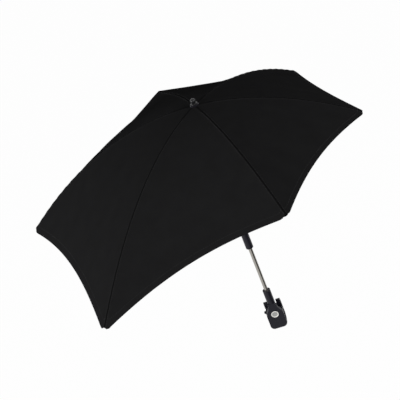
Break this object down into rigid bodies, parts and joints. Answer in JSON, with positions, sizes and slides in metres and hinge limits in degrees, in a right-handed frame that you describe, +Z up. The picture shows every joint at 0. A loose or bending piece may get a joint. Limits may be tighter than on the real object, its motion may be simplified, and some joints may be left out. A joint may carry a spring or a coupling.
{
  "type": "pram parasol",
  "caption": "Black fabric sun parasol for a pram, with folding ribs on a pole that tilts and swivels, held by a sprung clip for a frame tube.",
  "frame": {"origin": "centre of the clip's jaw, on the axis of the pram tube it grips", "axes": "+Z up along the pole, +X along the gripped tube, -Y the way the clip's badge faces; the canopy is open and upright"},
  "size_m": [0.6921, 0.6279, 0.5498],
  "materials": {
    "canopy": "matte woven",
    "rib_steel": "black lacquer",
    "tube_steel": "satin",
    "small_steel": "satin",
    "black_plastic": "fine moulded grain",
    "gloss_black": "gloss",
    "grip_rubber": "matt",
    "badge_metal": "satin"
  },
  "bodies": {
    "clamp": {"clamp_body": "black_plastic", "clamp_hinge_pin": "black_plastic", "clamp_spring": "small_steel", "clamp_front_pad": "grip_rubber", "clamp_badge": "badge_metal"},
    "lever": {"clamp_lever": "black_plastic", "clamp_rear_pad": "grip_rubber"},
    "lower_pole": {"lower_tube": "tube_steel", "tilt_lower_housing": "black_plastic", "tilt_pin": "small_steel"},
    "button": {"tilt_button": "black_plastic"},
    "upper_pole": {"tilt_upper_housing": "black_plastic", "upper_tube": "tube_steel", "top_notch": "black_plastic", "notch_wire": "small_steel", "canopy_washer": "black_plastic", "finial": "gloss_black"},
    "runner": {"runner": "black_plastic", "runner_bush": "black_plastic"},
    "rib_1": {"rib_1": "rib_steel", "rib_tip_1": "black_plastic", "stretcher_rivet_1": "small_steel", "canopy_panel_1": "canopy"},
    "stretcher_1": {"stretcher_1": "rib_steel"},
    "rib_2": {"rib_2": "rib_steel", "rib_tip_2": "black_plastic", "stretcher_rivet_2": "small_steel", "canopy_panel_2": "canopy"},
    "stretcher_2": {"stretcher_2": "rib_steel"},
    "rib_3": {"rib_3": "rib_steel", "rib_tip_3": "black_plastic", "stretcher_rivet_3": "small_steel", "canopy_panel_3": "canopy"},
    "stretcher_3": {"stretcher_3": "rib_steel"},
    "rib_4": {"rib_4": "rib_steel", "rib_tip_4": "black_plastic", "stretcher_rivet_4": "small_steel", "canopy_panel_4": "canopy"},
    "stretcher_4": {"stretcher_4": "rib_steel"},
    "rib_5": {"rib_5": "rib_steel", "rib_tip_5": "black_plastic", "stretcher_rivet_5": "small_steel", "canopy_panel_5": "canopy"},
    "stretcher_5": {"stretcher_5": "rib_steel"},
    "rib_6": {"rib_6": "rib_steel", "rib_tip_6": "black_plastic", "stretcher_rivet_6": "small_steel", "canopy_panel_6": "canopy"},
    "stretcher_6": {"stretcher_6": "rib_steel"}
  },
  "joints": [
    {"name": "jaw_squeeze", "type": "hinge", "parent": "clamp", "child": "lever", "pos_m": [0, 0.001, 0.017], "axis": [1, 0, 0], "range_deg": [0, 24], "stiffness_Nm_per_rad": 0.8, "springref_deg": -14.32, "deforming": ["clamp_spring"]},
    {"name": "pole_swivel", "type": "hinge", "parent": "clamp", "child": "lower_pole", "pos_m": [0, -0.006, 0.064], "axis": [0, 0, 1], "continuous": true},
    {"name": "tilt", "type": "hinge", "parent": "lower_pole", "child": "upper_pole", "pos_m": [0, -0.006, 0.242], "axis": [0.9877, 0.1564, 0], "range_deg": [-45, 45]},
    {"name": "tilt_button_press", "type": "slide", "parent": "lower_pole", "child": "button", "axis": [-0.9877, -0.1564, 0], "range_m": [0, 0.0016], "stiffness_N_per_m": 900, "springref_m": -0.001},
    {"name": "runner_slide", "type": "slide", "parent": "upper_pole", "child": "runner", "axis": [0, 0, -1], "range_m": [0, 0.16019]},
    {"name": "canopy_fold", "type": "hinge", "parent": "upper_pole", "child": "rib_1", "pos_m": [-0.01286, -0.00408, 0.51232], "axis": [-0.1478, -0.989, 0], "range_deg": [0, 63], "deforming": ["canopy_panel_1", "canopy_panel_2", "canopy_panel_3", "canopy_panel_4", "canopy_panel_5", "canopy_panel_6"]},
    {"name": "stretcher_1_swing", "type": "hinge", "parent": "rib_1", "child": "stretcher_1", "pos_m": [-0.11374, 0.011, 0.49238], "axis": [-0.1478, -0.989, 0], "range_deg": [-126.5, 0]},
    {"name": "rib_2_fold", "type": "hinge", "parent": "upper_pole", "child": "rib_2", "pos_m": [-0.00734, -0.01673, 0.51232], "axis": [0.8251, -0.565, 0], "range_deg": [0, 63]},
    {"name": "stretcher_2_swing", "type": "hinge", "parent": "rib_2", "child": "stretcher_2", "pos_m": [-0.06497, -0.10089, 0.49238], "axis": [0.8251, -0.565, 0], "range_deg": [-126.5, 0]},
    {"name": "rib_3_fold", "type": "hinge", "parent": "upper_pole", "child": "rib_3", "pos_m": [0.00462, -0.01815, 0.51232], "axis": [0.9348, 0.3551, 0], "range_deg": [0, 63]},
    {"name": "stretcher_3_swing", "type": "hinge", "parent": "rib_3", "child": "stretcher_3", "pos_m": [0.04084, -0.1135, 0.49238], "axis": [0.9348, 0.3551, 0], "range_deg": [-126.5, 0]},
    {"name": "rib_4_fold", "type": "hinge", "parent": "upper_pole", "child": "rib_4", "pos_m": [0.01276, -0.00848, 0.51232], "axis": [0.1908, 0.9816, 0], "range_deg": [0, 63]},
    {"name": "stretcher_4_swing", "type": "hinge", "parent": "rib_4", "child": "stretcher_4", "pos_m": [0.11289, -0.02794, 0.49238], "axis": [0.1908, 0.9816, 0], "range_deg": [-126.5, 0]},
    {"name": "rib_5_fold", "type": "hinge", "parent": "upper_pole", "child": "rib_5", "pos_m": [0.00729, 0.00477, 0.51232], "axis": [-0.8281, 0.5606, 0], "range_deg": [0, 63]},
    {"name": "stretcher_5_swing", "type": "hinge", "parent": "rib_5", "child": "stretcher_5", "pos_m": [0.06447, 0.08923, 0.49238], "axis": [-0.8281, 0.5606, 0], "range_deg": [-126.5, 0]},
    {"name": "rib_6_fold", "type": "hinge", "parent": "upper_pole", "child": "rib_6", "pos_m": [-0.00445, 0.00622, 0.51232], "axis": [-0.9397, -0.342, 0], "range_deg": [0, 63]},
    {"name": "stretcher_6_swing", "type": "hinge", "parent": "rib_6", "child": "stretcher_6", "pos_m": [-0.03933, 0.10207, 0.49238], "axis": [-0.9397, -0.342, 0], "range_deg": [-126.5, 0]}
  ],
  "couplings": [
    {"joint": "runner_slide", "follows": "canopy_fold", "m_per_rad": 0.14551},
    {"joint": "stretcher_1_swing", "follows": "canopy_fold", "ratio": -2},
    {"joint": "rib_2_fold", "follows": "canopy_fold", "ratio": 1},
    {"joint": "stretcher_2_swing", "follows": "canopy_fold", "ratio": -2},
    {"joint": "rib_3_fold", "follows": "canopy_fold", "ratio": 1},
    {"joint": "stretcher_3_swing", "follows": "canopy_fold", "ratio": -2},
    {"joint": "rib_4_fold", "follows": "canopy_fold", "ratio": 1},
    {"joint": "stretcher_4_swing", "follows": "canopy_fold", "ratio": -2},
    {"joint": "rib_5_fold", "follows": "canopy_fold", "ratio": 1},
    {"joint": "stretcher_5_swing", "follows": "canopy_fold", "ratio": -2},
    {"joint": "rib_6_fold", "follows": "canopy_fold", "ratio": 1},
    {"joint": "stretcher_6_swing", "follows": "canopy_fold", "ratio": -2}
  ]
}
